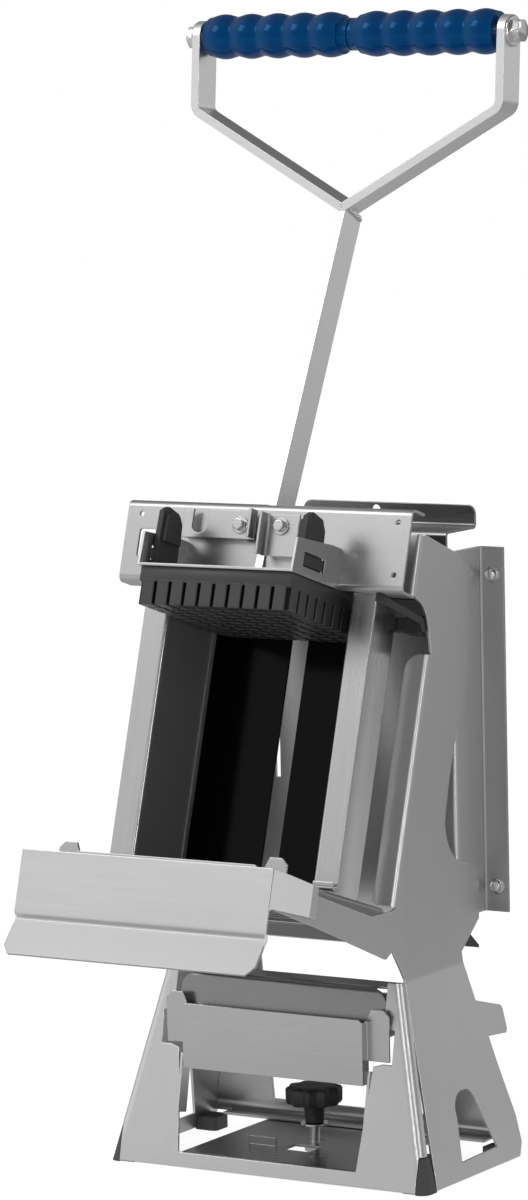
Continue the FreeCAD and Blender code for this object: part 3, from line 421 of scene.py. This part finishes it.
# %% Finish on the CAD pieces
FINISH = {
    "side_plate_left": SHEETS["upright sheet"], "side_plate_right": SHEETS["upright sheet"],
    "front_panel": SHEETS["front sheet"], "floor_plate": SHEETS["level sheet with painted shade"],
    "rear_panel": SHEETS["back sheet"], "rear_channel": SHEETS["back sheet"],
    "hanger_plate": SHEETS["level sheet with painted shade"], "feed_chute": SHEETS["chute sheet"],
    "blade_deck": SHEETS["level sheet with painted shade"], "chute_brace": SHEETS["back sheet"],
    "storage_hood": SHEETS["level sheet with painted shade"], "cartridge_frame": SHEETS["cartridge sheet"],
    "spare_frame": SHEETS["cartridge sheet"], "blade_door": SHEETS["door sheet"],
    "carriage_yoke": SHEETS["carriage sheet"], "link_left": BLACK,
    "link_right": BLACK, "pusher_tray": SHEETS["carriage sheet"],
    "lever_bracket_left": SHEETS["carriage sheet"], "lever_bracket_right": SHEETS["carriage sheet"],
    "lever_bar": BAR, "fork_arm_left": FORK, "fork_arm_right": FORK,
    "bracket_screws": BRIGHT, "grip_rod": BRIGHT, "rod_hardware": BRIGHT, "clamp_stud": BRIGHT,
    # The rear apron, a sheet, takes the black moulding as painted shade, for the dark that it shows
    "rear_apron": BLACK, "clamp_washer": BRIGHT, "guide_bar": BLACK,
    "catch_left": BLACK, "catch_right": BLACK,
    "clamp_knob": BLACK, "pusher_block": BLACK, "grip_left": BLUE, "grip_right": BLUE,
    "blades_lengthwise": BLADE, "blades_crosswise": BLADE, "spare_blades_lengthwise": BLADE,
    "spare_blades_crosswise": BLADE, "foot_front_left": RUBBER, "foot_front_right": RUBBER,
    "foot_rear_left": RUBBER, "foot_rear_right": RUBBER,
}


def paint(obj, material):
    obj.data.materials.clear()
    obj.data.materials.append(material)


for name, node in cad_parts.items():
    paint(node, FINISH[name])
print("finished CAD nodes:", len(FINISH))

# %% [markdown]
# ## Making pieces
# Every made piece is built where it sits at rest, then rides on its body.

# %% Piece helpers
def finish_piece(name, mesh, material, body, replaces=(), smooth=True):
    """Hang a mesh on its body, with its finish and the CAD pieces that it stands in for."""
    mesh.name = name
    obj = bpy.data.objects.new(name, mesh)
    bpy.context.scene.collection.objects.link(obj)
    if smooth:
        mesh.shade_smooth()
        mesh.set_sharp_from_angle(angle=math.radians(38))
    paint(obj, material)
    if replaces:
        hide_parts(*replaces)
    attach(obj, body)
    print(name, "faces:", len(mesh.polygons))
    return obj


def make_piece(name, builder, material, body, replaces=()):
    mesh = bpy.data.meshes.new(name)
    shape = bmesh.new()
    builder(shape)
    bmesh.ops.recalc_face_normals(shape, faces=shape.faces)
    shape.to_mesh(mesh)
    shape.free()
    return finish_piece(name, mesh, material, body, replaces)


def ring_stack(shape, rings, matrix):
    """Join rings of points (each a list of x, y, z) side to side, and cap both ends."""
    made = [[shape.verts.new(matrix @ Vector(p)) for p in ring] for ring in rings]
    sides = len(made[0])
    for a, b in zip(made, made[1:]):
        for k in range(sides):
            shape.faces.new((a[k], a[(k + 1) % sides], b[(k + 1) % sides], b[k]))
    shape.faces.new(reversed(made[0]))
    shape.faces.new(made[-1])


def turned(profile, sides=48):
    """Rings about the z axis from (height, radius) points."""
    return [[(r * math.cos(2 * math.pi * k / sides), r * math.sin(2 * math.pi * k / sides), z)
             for k in range(sides)] for z, r in profile]


def rounded_box(shape, low, high, bevel, matrix, segments=2):
    """A block with rounded edges."""
    middle = (Vector(low) + Vector(high)) / 2
    size = Vector(high) - Vector(low)
    made = bmesh.ops.create_cube(shape, size=1.0)
    bmesh.ops.scale(shape, vec=size, verts=made["verts"])
    bmesh.ops.translate(shape, vec=middle, verts=made["verts"])
    edges = list({e for v in made["verts"] for e in v.link_edges})
    cut = bmesh.ops.bevel(shape, geom=edges, offset=bevel, segments=segments, profile=0.5,
                          affect="EDGES")
    points = {v for f in cut["faces"] for v in f.verts} | {v for v in made["verts"] if v.is_valid}
    bmesh.ops.transform(shape, matrix=matrix, verts=list(points))


# %% Geometry node helpers
def node_tree(name, inputs):
    """A geometry node group with named inputs, and the group's input and output nodes."""
    tree = bpy.data.node_groups.new(name, "GeometryNodeTree")
    tree.interface.new_socket(name="Geometry", in_out="INPUT", socket_type="NodeSocketGeometry")
    for label, kind, value in inputs:
        made = tree.interface.new_socket(name=label, in_out="INPUT", socket_type=kind)
        if value is not None:
            made.default_value = value
    tree.interface.new_socket(name="Geometry", in_out="OUTPUT", socket_type="NodeSocketGeometry")
    return tree, tree.nodes.new("NodeGroupInput"), tree.nodes.new("NodeGroupOutput")


def grow(tree, values):
    """Run a node group on an empty mesh with these named inputs, and return the plain mesh."""
    mesh = bpy.data.meshes.new("seed")
    obj = bpy.data.objects.new("seed", mesh)
    bpy.context.scene.collection.objects.link(obj)
    modifier = obj.modifiers.new("grow", "NODES")
    modifier.node_group = tree
    for item in tree.interface.items_tree:
        if getattr(item, "in_out", "") == "INPUT" and item.name in values:
            modifier[item.identifier] = values[item.name]
    bpy.context.view_layer.update()
    graph = bpy.context.evaluated_depsgraph_get()
    grown = bpy.data.meshes.new_from_object(obj.evaluated_get(graph))
    obj.modifiers.clear()
    bpy.data.objects.remove(obj)
    return grown


def gmath(tree, operation, a, b=None, c=None):
    node = tree.nodes.new("ShaderNodeMath")
    node.operation = operation
    for index, value in enumerate((a, b, c)):
        if isinstance(value, (int, float)):
            node.inputs[index].default_value = value
        elif value is not None:
            tree.links.new(value, node.inputs[index])
    return node.outputs[0]


# %% [markdown]
# ## Blue grips
# A rule makes each grip: along its length the radius follows a row of equal swells with tight
# grooves between, and a narrower neck reaches to the middle of the rod.

# %% Grip tree
GRIP_SHAPE = {"Start": 0.0063, "Length": 0.089, "Ridges": 5, "Groove": 0.0114, "Swell": 0.0017,
              "Fullness": 0.7}


def grip_tree():
    """A ridged tube along X; Groove is the least radius, and Swell the height of a ridge."""
    kinds = {name: "NodeSocketInt" if name == "Ridges" else "NodeSocketFloat" for name in GRIP_SHAPE}
    tree, enter, leave = node_tree("ridged grip", [
        *((name, kinds[name], value) for name, value in GRIP_SHAPE.items()),
        ("Material", "NodeSocketMaterial", None)])
    links = tree.links
    tube = tree.nodes.new("GeometryNodeMeshCylinder")
    tube.inputs["Vertices"].default_value = 64
    tube.inputs["Side Segments"].default_value = 150
    tube.inputs["Radius"].default_value = 1.0
    tube.inputs["Depth"].default_value = 1.0
    place = tree.nodes.new("GeometryNodeInputPosition").outputs[0]
    split = tree.nodes.new("ShaderNodeSeparateXYZ")
    links.new(place, split.inputs[0])
    along = gmath(tree, "ADD", split.outputs["Z"], 0.5)
    ridge = gmath(tree, "MULTIPLY", along, enter.outputs["Ridges"])
    phase = gmath(tree, "MULTIPLY", ridge, 2 * math.pi)
    swing = gmath(tree, "MULTIPLY_ADD", gmath(tree, "COSINE", phase), -0.5, 0.5)
    wave = gmath(tree, "POWER", swing, enter.outputs["Fullness"])
    radius = gmath(tree, "ADD", enter.outputs["Groove"],
                   gmath(tree, "MULTIPLY", wave, enter.outputs["Swell"]))
    join = tree.nodes.new("ShaderNodeCombineXYZ")
    links.new(gmath(tree, "ADD", enter.outputs["Start"],
                    gmath(tree, "MULTIPLY", along, enter.outputs["Length"])), join.inputs["X"])
    links.new(gmath(tree, "MULTIPLY", split.outputs["X"], radius), join.inputs["Y"])
    links.new(gmath(tree, "MULTIPLY", split.outputs["Y"], radius), join.inputs["Z"])
    move = tree.nodes.new("GeometryNodeSetPosition")
    links.new(tube.outputs["Mesh"], move.inputs["Geometry"])
    links.new(join.outputs[0], move.inputs["Position"])
    coat = tree.nodes.new("GeometryNodeSetMaterial")
    links.new(move.outputs[0], coat.inputs["Geometry"])
    links.new(enter.outputs["Material"], coat.inputs["Material"])
    links.new(coat.outputs[0], leave.inputs[0])
    return tree


GRIP = grip_tree()

# %% Blue grips
def grip_mesh(side):
    """One grip: the ridged tube with its neck, mirrored for the left hand."""
    mesh = grow(GRIP, {**GRIP_SHAPE, "Material": BLUE})
    neck = bmesh.new()
    neck.from_mesh(mesh)
    turn = Matrix.Rotation(math.radians(90), 4, "Y")
    ring_stack(neck, turned([(0.0003, 0.0085), (0.0004, 0.0094), (0.0050, 0.0094),
                             (0.0062, 0.0101), (0.0068, 0.0104)], 64), turn)
    bmesh.ops.transform(neck, matrix=Matrix.Translation((0, HANDLE_Y, HANDLE_Z))
                        @ Matrix.Diagonal((side, 1, 1, 1)), verts=neck.verts)
    bmesh.ops.recalc_face_normals(neck, faces=neck.faces)
    for face in neck.faces:
        face.material_index = 0
    neck.to_mesh(mesh)
    neck.free()
    return mesh


for side, name in ((-1, "left"), (1, "right")):
    finish_piece("moulded_grip_" + name, grip_mesh(side), BLUE, "carriage",
                 ("grip_" + name,))

# %% [markdown]
# ## Pusher and blades
# The pusher's pegs stand on a square grid at the cut size, and the blades run in two crossed
# courses at the same pitch. Each set is one bevelled piece repeated by a node group.

# %% Repeat tree
def repeat_tree():
    """Copies of a piece over a grid or row, each moved by a hair so that no two are alike."""
    tree, enter, leave = node_tree("repeat on a grid", [
        ("Piece", "NodeSocketObject", None), ("Across", "NodeSocketInt", 10),
        ("Along", "NodeSocketInt", 10), ("Pitch", "NodeSocketFloat", CUT),
        ("Play", "NodeSocketFloat", 0.0001), ("Seed", "NodeSocketInt", 3),
        ("Material", "NodeSocketMaterial", None)])
    links = tree.links
    grid = tree.nodes.new("GeometryNodeMeshGrid")
    for count, size, number in (("Across", "Size X", "Vertices X"), ("Along", "Size Y", "Vertices Y")):
        links.new(enter.outputs[count], grid.inputs[number])
        links.new(gmath(tree, "MULTIPLY", gmath(tree, "SUBTRACT", enter.outputs[count], 1.0),
                        enter.outputs["Pitch"]), grid.inputs[size])
    jitter = tree.nodes.new("FunctionNodeRandomValue")
    jitter.data_type = "FLOAT_VECTOR"
    jitter.inputs[0].default_value = (-1, -1, -1)
    jitter.inputs[1].default_value = (1, 1, 1)
    links.new(enter.outputs["Seed"], jitter.inputs["Seed"])
    small = tree.nodes.new("ShaderNodeVectorMath")
    small.operation = "SCALE"
    links.new(jitter.outputs[0], small.inputs[0])
    links.new(enter.outputs["Play"], small.inputs["Scale"])
    move = tree.nodes.new("GeometryNodeSetPosition")
    links.new(grid.outputs["Mesh"], move.inputs["Geometry"])
    links.new(small.outputs[0], move.inputs["Offset"])
    piece = tree.nodes.new("GeometryNodeObjectInfo")
    links.new(enter.outputs["Piece"], piece.inputs["Object"])
    copies = tree.nodes.new("GeometryNodeInstanceOnPoints")
    links.new(move.outputs[0], copies.inputs["Points"])
    links.new(piece.outputs["Geometry"], copies.inputs["Instance"])
    real = tree.nodes.new("GeometryNodeRealizeInstances")
    links.new(copies.outputs[0], real.inputs[0])
    coat = tree.nodes.new("GeometryNodeSetMaterial")
    links.new(real.outputs[0], coat.inputs["Geometry"])
    links.new(enter.outputs["Material"], coat.inputs["Material"])
    links.new(coat.outputs[0], leave.inputs[0])
    return tree


REPEAT = repeat_tree()


def repeated(low, high, bevel, values):
    """One rounded block repeated by the grid tree, as a plain mesh about the grid's middle."""
    mesh = bpy.data.meshes.new("one")
    shape = bmesh.new()
    rounded_box(shape, low, high, bevel, Matrix.Identity(4), 1)
    shape.to_mesh(mesh)
    shape.free()
    one = bpy.data.objects.new("one", mesh)
    bpy.context.scene.collection.objects.link(one)
    grown = grow(REPEAT, {**values, "Piece": one})
    bpy.data.objects.remove(one)
    return grown


def combine(meshes, matrix):
    """Several plain meshes as one, placed together."""
    shape = bmesh.new()
    for mesh in meshes:
        shape.from_mesh(mesh)
    bmesh.ops.transform(shape, matrix=matrix, verts=shape.verts)
    for face in shape.faces:
        face.material_index = 0
    whole = bpy.data.meshes.new("whole")
    shape.to_mesh(whole)
    shape.free()
    return whole


# %% Pusher
PUSHER_HALF, PUSHER_MIDDLE = 0.0492, -0.0008
TRAY, PUSHER_HIGH, PEG_HIGH = 0.0179, 0.0215, 0.013


def pusher_mesh():
    """Ten by ten pegs under a slab, with the outer rows filled out to the pusher's sides."""
    low = TRAY - PUSHER_HIGH
    half = (CUT - 0.0019) / 2
    pegs = repeated((-half, -half, low), (half, half, low + PEG_HIGH + 0.001), 0.0004,
                    {"Across": 10, "Along": 10, "Pitch": CUT, "Play": 0.00006, "Seed": 3,
                     "Material": PEGS})
    slab = bpy.data.meshes.new("slab")
    shape = bmesh.new()
    rounded_box(shape, (-PUSHER_HALF, -PUSHER_HALF, low + PEG_HIGH), (PUSHER_HALF, PUSHER_HALF, TRAY),
                0.0006, Matrix.Identity(4))
    for k in range(10):
        at = (k - 4.5) * CUT
        for side in (-1, 1):
            near, far = sorted((side * (4.5 * CUT + half - 0.001), side * PUSHER_HALF))
            rounded_box(shape, (at - half, near, low), (at + half, far, low + PEG_HIGH + 0.001),
                        0.0004, Matrix.Identity(4), 1)
            rounded_box(shape, (near, at - half, low), (far, at + half, low + PEG_HIGH + 0.001),
                        0.0004, Matrix.Identity(4), 1)
    shape.to_mesh(slab)
    shape.free()
    return combine([pegs, slab], chute_matrix() @ Matrix.Translation((0, PUSHER_MIDDLE, 0)))


finish_piece("slotted_pusher", pusher_mesh(), PEGS, "carriage", ("pusher_block",))

# %% Blades
def blade_courses(top):
    """Two crossed courses of nine blades about the grid's middle, the upper one at top."""
    thin, tall, reach = 0.0003, 0.005, 0.0497
    courses = []
    for course, (low, high, counts) in enumerate((
            ((-thin, -reach, -tall), (thin, reach, 0.0), {"Across": 9, "Along": 1}),
            ((-reach, -thin, -tall), (reach, thin, 0.0), {"Across": 1, "Along": 9}))):
        mesh = repeated(low, high, 0.00012, {**counts, "Pitch": CUT, "Play": 0.00004,
                                             "Seed": 5 + course, "Material": BLADE})
        mesh.transform(Matrix.Translation((0, 0, top - course * tall)))
        courses.append(mesh)
    return courses


finish_piece("main_blades", combine(blade_courses(-0.1532),
                                    chute_matrix() @ Matrix.Translation((0, PUSHER_MIDDLE, 0))),
             BLADE, "stand", ("blades_lengthwise", "blades_crosswise"), False)
finish_piece("stored_blades", combine(blade_courses(0.0), Matrix.Translation((0, 0.0147, 0.0866))),
             BLADE, "spare_cartridge",
             ("spare_blades_lengthwise", "spare_blades_crosswise"), False)

# %% [markdown]
# ## Fasteners and clamp
# Hex heads are chamfered, washers have soft edges, and the clamp stud carries a real thread.

# %% Hex heads and washers
def hex_rings(apothem, height):
    """Rings of a chamfered hexagon head standing on z = 0."""
    sides = 48
    def reach(k):
        a = 2 * math.pi * k / sides
        part = (a + math.pi / 6) % (math.pi / 3) - math.pi / 6
        return a, apothem / math.cos(part)
    rings = []
    for z, limit in ((0, 9), (height * 0.78, 9), (height * 0.93, apothem * 1.06),
                     (height, apothem * 0.93)):
        ring = []
        for k in range(sides):
            a, r = reach(k)
            r = min(r, limit)
            ring.append((r * math.cos(a), r * math.sin(a), z))
        rings.append(ring)
    return rings


def washer_profile(inner, outer, high):
    soft = high * 0.3
    return [(0, inner), (0, outer - soft), (soft, outer), (high - soft, outer), (high, outer - soft),
            (high, inner)]


def build_bracket_screws(shape):
    """Two washered hex heads that hold the lever's brackets to the yoke."""
    turn = Matrix.Rotation(math.radians(90), 4, "X")
    for x in (-0.0134, 0.0134):
        place = chute_matrix() @ Matrix.Translation((x, -0.0095, 0.051)) @ turn
        ring_stack(shape, turned(washer_profile(0.002, 0.005, 0.0008)), place)
        ring_stack(shape, hex_rings(0.0031, 0.0032), place @ Matrix.Translation((0, 0, 0.0008))
                   @ Matrix.Rotation(0.4 if x > 0 else 0.1, 4, "Z"))


def build_rod_hardware(shape):
    """The head at one end of the handle's rod, and the nut at the other."""
    for side, high in ((1, 0.0055), (-1, 0.005)):
        turn = Matrix.Rotation(math.radians(90 * side), 4, "Y")
        place = Matrix.Translation((side * 0.1035, HANDLE_Y, HANDLE_Z)) @ turn
        ring_stack(shape, turned(washer_profile(0.0041, 0.009, 0.0016)), place)
        ring_stack(shape, hex_rings(0.0062, high), place @ Matrix.Translation((0, 0, 0.0016)))


make_piece("bracket_hex_screws", build_bracket_screws, BRIGHT, "carriage",
           ("bracket_screws",))
make_piece("handle_hex_bolt", build_rod_hardware, BRIGHT, "carriage",
           ("rod_hardware",))

# %% Clamp stud and knob
def build_stud(shape):
    """A headed stud whose thread climbs round it."""
    sides, pitch = 40, 0.00125
    low, high = 0.0095, 0.0392
    rings = []
    steps = int((high - low) / pitch * 8)
    for i in range(steps + 1):
        z = low + (high - low) * i / steps
        ring = []
        for k in range(sides):
            turn = (z / pitch - k / sides) % 1.0
            r = 0.00262 + 0.00046 * (1 - abs(2 * turn - 1))
            a = 2 * math.pi * k / sides
            ring.append((r * math.cos(a), r * math.sin(a), z))
        rings.append(ring)
    middle = Matrix.Translation((0, CLAMP_Y, 0))
    ring_stack(shape, rings, middle)
    ring_stack(shape, turned([(0.0045, 0.0052), (0.005, 0.006), (0.0072, 0.006), (0.0075, 0.0055),
                              (0.0076, 0.0031), (0.0098, 0.0031)]), middle)


def build_knob(shape):
    """A hand knob: soft finger lobes round a thick head, and a hub bored to clear the stud."""
    lobes, sides, outer, bore = 10, 160, 0.0166, 0.0034
    rings = turned([(0.0078, bore), (-0.0106, bore), (-0.0106, 0.0045), (-0.0104, 0.0054),
                    (-0.0090, 0.0055), (-0.0004, 0.0061), (0.0, 0.0064)], sides)
    for z, inset in ((0.0, 0.0030), (0.0005, 0.0012), (0.0018, 0.0002), (0.0092, 0.0),
                     (0.0104, 0.0008), (0.0110, 0.0026), (0.0110, 0.0075)):
        ring = []
        for k in range(sides):
            a = 2 * math.pi * k / sides
            wave = abs(math.sin(a * lobes / 2)) ** 1.4
            r = outer - inset - 0.0022 * wave * (1.0 if inset < 0.005 else 0.0)
            ring.append((r * math.cos(a), r * math.sin(a), z))
        rings.append(ring)
    ring_stack(shape, rings, Matrix.Translation((0, CLAMP_Y, KNOB_Z)))


make_piece("threaded_stud", build_stud, BRIGHT, "stand", ("clamp_stud",))
make_piece("lobed_knob", build_knob, BLACK, "clamp_knob", ("clamp_knob",))

# %% Wall screws
def build_wall_screws(shape):
    """Pan heads seen through the flange holes, each on a washer inside its hole."""
    for x in (-WALL_SCREW_X, WALL_SCREW_X):
        for z in WALL_SCREW_HEIGHTS:
            turn = Matrix.Rotation(math.radians(90), 4, "X")
            hole = Matrix.Translation((x, 0.0718, z)) @ turn
            ring_stack(shape, turned([(0, 0.002), (0, 0.0043), (0.0006, 0.0044), (0.0008, 0.0042),
                                      (0.0008, 0.002)]), hole)
            head = Matrix.Translation((x - math.copysign(0.0014, x), 0.0710, z)) @ turn
            ring_stack(shape, turned([(0, 0.0036), (0.0012, 0.0037), (0.0020, 0.0034),
                                      (0.0026, 0.0026), (0.0029, 0.0014)]), head)


make_piece("wall_screws", build_wall_screws, BRIGHT, "stand")

# %% Weld at the fork
def build_weld(shape):
    """A rippled bead where the fork's arms meet the head of the lever."""
    tilt = Matrix.Translation((0, 0.0611, 0.5415)) @ Matrix.Rotation(math.radians(-27), 4, "X")
    for side in (-1, 1):
        rings = []
        for i in range(49):
            u = i / 48
            y = -0.0092 + 0.0184 * u
            r = 0.0011 + 0.00022 * math.sin(u * math.pi * 14)
            ring = []
            for k in range(14):
                a = 2 * math.pi * k / 14
                ring.append((side * 0.0027 + r * math.cos(a), y, r * math.sin(a)))
            rings.append(ring)
        ring_stack(shape, rings, tilt)


make_piece("fork_weld", build_weld, BRIGHT, "carriage")

# %% [markdown]
# ## Studio
# Seen straight on, the room is white. What the steel reflects is calmer: soft banks to the front
# left and overhead, paler walls to the left and the back right, and a pale floor.

# %% Room the steel reflects
LOBES = [
    # name, direction, cosine where it starts, cosine where it is full, level
    ("front left bank", (-0.66, -0.70, 0.28), 0.35, 0.98, 0.62),
    ("high bank", (-0.10, -0.25, 0.96), 0.60, 1.0, 0.20),
    ("left wall", (-0.95, 0.10, 0.10), 0.35, 1.0, 0.35),
    ("back right wall", (0.68, 0.73, 0.0), 0.55, 1.0, 0.52),
]


def lobe(nodes, links, place, direction, low, high, level):
    """Light from one side of the room, fading away from its direction."""
    dot = nodes.new("ShaderNodeVectorMath")
    dot.operation = "DOT_PRODUCT"
    links.new(place, dot.inputs[0])
    dot.inputs[1].default_value = Vector(direction).normalized()
    fade = nodes.new("ShaderNodeMapRange")
    fade.interpolation_type = "SMOOTHSTEP"
    fade.inputs["From Min"].default_value = low
    fade.inputs["From Max"].default_value = high
    fade.inputs["To Max"].default_value = level
    links.new(dot.outputs["Value"], fade.inputs["Value"])
    return fade.outputs["Result"]


def build_world():
    """White where the camera looks, and the soft banks everywhere else."""
    world = bpy.data.worlds.new("white studio")
    world.use_nodes = True
    bpy.context.scene.world = world
    nodes, links = world.node_tree.nodes, world.node_tree.links
    nodes.clear()
    out = nodes.new("ShaderNodeOutputWorld")
    seen = nodes.new("ShaderNodeBackground")
    seen.inputs["Color"].default_value = (1, 1, 1, 1)
    felt = nodes.new("ShaderNodeBackground")
    place = nodes.new("ShaderNodeTexCoord").outputs["Generated"]
    level = 0.16
    for _, direction, low, high, strength in LOBES:
        bank = lobe(nodes, links, place, direction, low, high, strength)
        level = math_node(nodes, links, "ADD", bank, level)
    links.new(level, felt.inputs["Strength"])
    path = nodes.new("ShaderNodeLightPath")
    pick = nodes.new("ShaderNodeMixShader")
    links.new(path.outputs["Is Camera Ray"], pick.inputs[0])
    links.new(felt.outputs[0], pick.inputs[1])
    links.new(seen.outputs[0], pick.inputs[2])
    links.new(pick.outputs[0], out.inputs["Surface"])


build_world()

# %% Floor
def pale_floor():
    """Pale card: white to the eye but for a soft contact shadow, and greyer away from the light."""
    made, nodes, links, shader = new_material("pale floor")
    place = nodes.new("ShaderNodeTexCoord").outputs["Object"]
    cloud = noise(nodes, links, place, 3.0, 2.0)
    tone = mix_colour(nodes, links, cloud, (0.30, 0.30, 0.30), (0.34, 0.34, 0.34))
    links.new(tone, shader.inputs["Base Color"])
    shader.inputs["Roughness"].default_value = 0.8
    shader.inputs["Specular IOR Level"].default_value = 0.1
    away = nodes.new("ShaderNodeVectorMath")
    away.operation = "DOT_PRODUCT"
    links.new(place, away.inputs[0])
    away.inputs[1].default_value = (-0.55, -0.83, 0.0)
    glow = ramp(nodes, links, away.outputs["Value"], -0.9, 1.5, 0.15, 0.64)
    path = nodes.new("ShaderNodeLightPath")
    seen = math_node(nodes, links, "MULTIPLY", path.outputs["Is Camera Ray"], 0.9)
    links.new(math_node(nodes, links, "MAXIMUM", seen, glow), shader.inputs["Emission Strength"])
    shader.inputs["Emission Color"].default_value = (1, 1, 1, 1)
    return made


mesh = bpy.data.meshes.new("floor")
mesh.from_pydata([(-6, -6, 0), (6, -6, 0), (6, 6, 0), (-6, 6, 0)], [], [(0, 1, 2, 3)])
floor = bpy.data.objects.new("floor", mesh)
bpy.context.scene.collection.objects.link(floor)
paint(floor, pale_floor())

# %% Lights
def area(name, place, aim, width, height, power):
    """A rectangular lamp at a place, turned to face a point."""
    data = bpy.data.lights.new(name, "AREA")
    data.shape = "RECTANGLE"
    data.size, data.size_y, data.energy = width, height, power
    light = bpy.data.objects.new(name, data)
    bpy.context.scene.collection.objects.link(light)
    look = Vector(aim) - Vector(place)
    face = look.to_track_quat("-Z", "Y").to_matrix().to_4x4()
    light.matrix_world = Matrix.Translation(place) @ face


area("key light", (-1.45, -1.65, 2.25), (0, 0, 0.3), 1.2, 1.2, 11)
area("rim light", (1.9, 1.2, 1.6), (0, 0, 0.3), 0.6, 1.4, 5)
area("small lamp", (0.9, -2.6, 0.95), (0, 0, 0.5), 0.14, 0.14, 5)
area("edge strip", (1.75, -0.95, 0.45), (0, 0, 0.3), 0.22, 1.7, 6)
